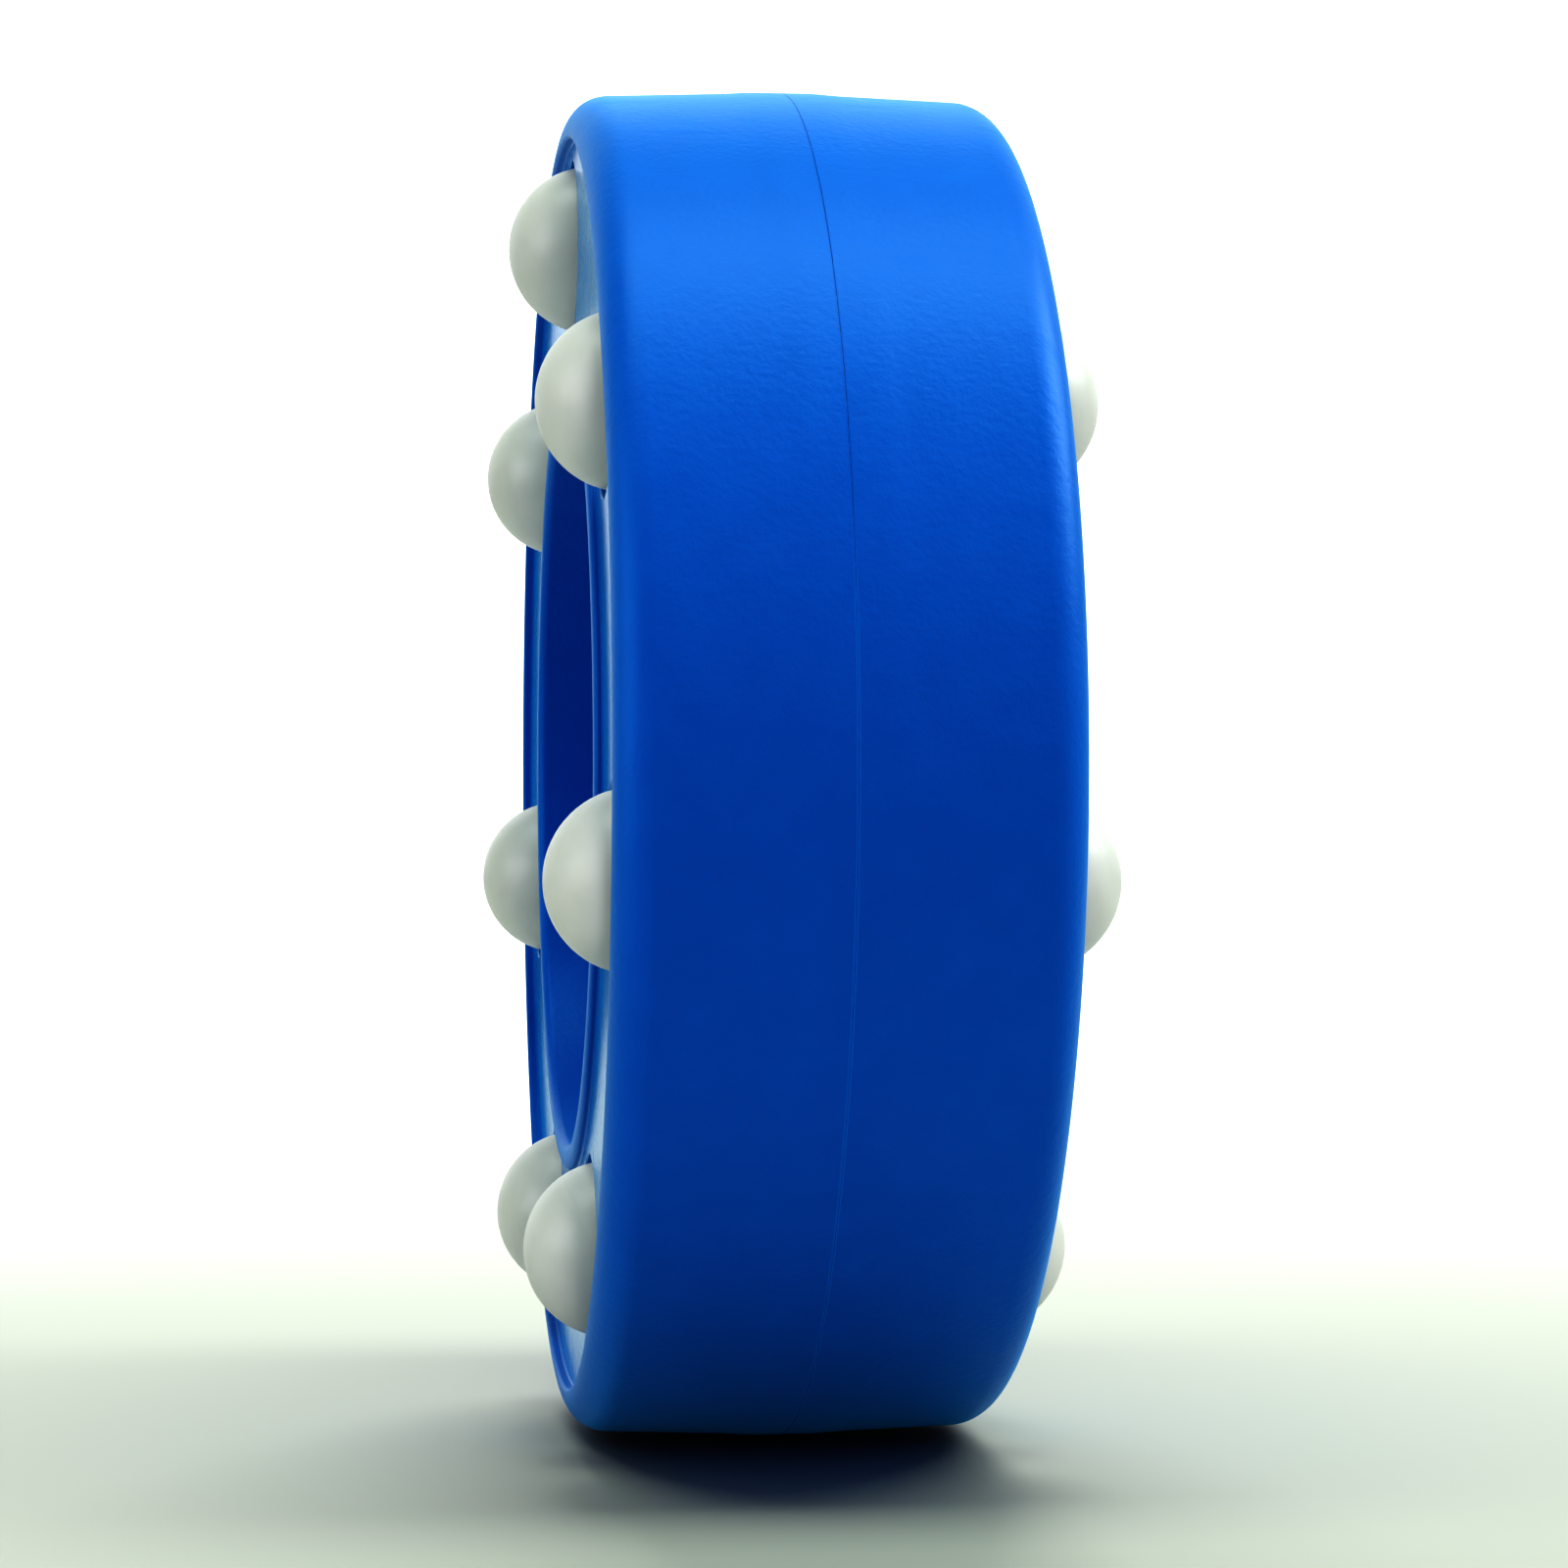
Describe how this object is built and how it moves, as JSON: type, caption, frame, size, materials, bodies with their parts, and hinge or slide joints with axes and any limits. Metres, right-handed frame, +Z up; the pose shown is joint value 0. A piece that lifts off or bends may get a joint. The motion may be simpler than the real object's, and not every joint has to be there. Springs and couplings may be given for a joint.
{
  "type": "roller hockey puck",
  "caption": "Blue plastic roller-ball hockey puck standing on its rim, with free-rolling pale balls held in both faces and a round recess in the middle of each face.",
  "frame": {"origin": "on the ground under the middle of the rim, with the puck standing on its rim as in the picture", "axes": "+X along the puck's axis, out of the right face; +Z up, across the rim; +Y level, across the rim"},
  "size_m": [0.0296, 0.0762, 0.0762],
  "materials": {
    "shell_plastic": "satin moulded plastic, faintly mottled",
    "ball_plastic": "satin, off-white",
    "seat_plastic": "smooth low-friction plastic",
    "screw_steel": "zinc plated"
  },
  "bodies": {
    "body": {"left_shell": "shell_plastic", "right_shell": "shell_plastic", "left_seat_ring": "seat_plastic", "right_seat_ring": "seat_plastic", "clamp_screw_1": "screw_steel", "clamp_screw_2": "screw_steel", "clamp_screw_3": "screw_steel", "clamp_screw_4": "screw_steel"},
    "left_ball_1": {"left_ball_1": "ball_plastic"},
    "left_ball_2": {"left_ball_2": "ball_plastic"},
    "left_ball_3": {"left_ball_3": "ball_plastic"},
    "left_ball_4": {"left_ball_4": "ball_plastic"},
    "left_ball_5": {"left_ball_5": "ball_plastic"},
    "left_ball_6": {"left_ball_6": "ball_plastic"},
    "left_ball_7": {"left_ball_7": "ball_plastic"},
    "right_ball_1": {"right_ball_1": "ball_plastic"},
    "right_ball_2": {"right_ball_2": "ball_plastic"},
    "right_ball_3": {"right_ball_3": "ball_plastic"},
    "right_ball_4": {"right_ball_4": "ball_plastic"},
    "right_ball_5": {"right_ball_5": "ball_plastic"},
    "right_ball_6": {"right_ball_6": "ball_plastic"},
    "right_ball_7": {"right_ball_7": "ball_plastic"}
  },
  "joints": [
    {"name": "left_ball_1_roll", "type": "hinge", "parent": "body", "child": "left_ball_1", "pos_m": [-0.01005, 0, 0.06755], "axis": [0, 1, 0], "continuous": true},
    {"name": "left_ball_2_roll", "type": "hinge", "parent": "body", "child": "left_ball_2", "pos_m": [-0.01005, 0.02303, 0.05646], "axis": [0, 1, 0], "continuous": true},
    {"name": "left_ball_3_roll", "type": "hinge", "parent": "body", "child": "left_ball_3", "pos_m": [-0.01005, 0.02871, 0.03155], "axis": [0, 1, 0], "continuous": true},
    {"name": "left_ball_4_roll", "type": "hinge", "parent": "body", "child": "left_ball_4", "pos_m": [-0.01005, 0.01278, 0.01157], "axis": [0, 1, 0], "continuous": true},
    {"name": "left_ball_5_roll", "type": "hinge", "parent": "body", "child": "left_ball_5", "pos_m": [-0.01005, -0.01278, 0.01157], "axis": [0, 1, 0], "continuous": true},
    {"name": "left_ball_6_roll", "type": "hinge", "parent": "body", "child": "left_ball_6", "pos_m": [-0.01005, -0.02871, 0.03155], "axis": [0, 1, 0], "continuous": true},
    {"name": "left_ball_7_roll", "type": "hinge", "parent": "body", "child": "left_ball_7", "pos_m": [-0.01005, -0.02303, 0.05646], "axis": [0, 1, 0], "continuous": true},
    {"name": "right_ball_1_roll", "type": "hinge", "parent": "body", "child": "right_ball_1", "pos_m": [0.01005, 0, 0.06755], "axis": [0, 1, 0], "continuous": true},
    {"name": "right_ball_2_roll", "type": "hinge", "parent": "body", "child": "right_ball_2", "pos_m": [0.01005, -0.02303, 0.05646], "axis": [0, 1, 0], "continuous": true},
    {"name": "right_ball_3_roll", "type": "hinge", "parent": "body", "child": "right_ball_3", "pos_m": [0.01005, -0.02871, 0.03155], "axis": [0, 1, 0], "continuous": true},
    {"name": "right_ball_4_roll", "type": "hinge", "parent": "body", "child": "right_ball_4", "pos_m": [0.01005, -0.01278, 0.01157], "axis": [0, 1, 0], "continuous": true},
    {"name": "right_ball_5_roll", "type": "hinge", "parent": "body", "child": "right_ball_5", "pos_m": [0.01005, 0.01278, 0.01157], "axis": [0, 1, 0], "continuous": true},
    {"name": "right_ball_6_roll", "type": "hinge", "parent": "body", "child": "right_ball_6", "pos_m": [0.01005, 0.02871, 0.03155], "axis": [0, 1, 0], "continuous": true},
    {"name": "right_ball_7_roll", "type": "hinge", "parent": "body", "child": "right_ball_7", "pos_m": [0.01005, 0.02303, 0.05646], "axis": [0, 1, 0], "continuous": true}
  ]
}
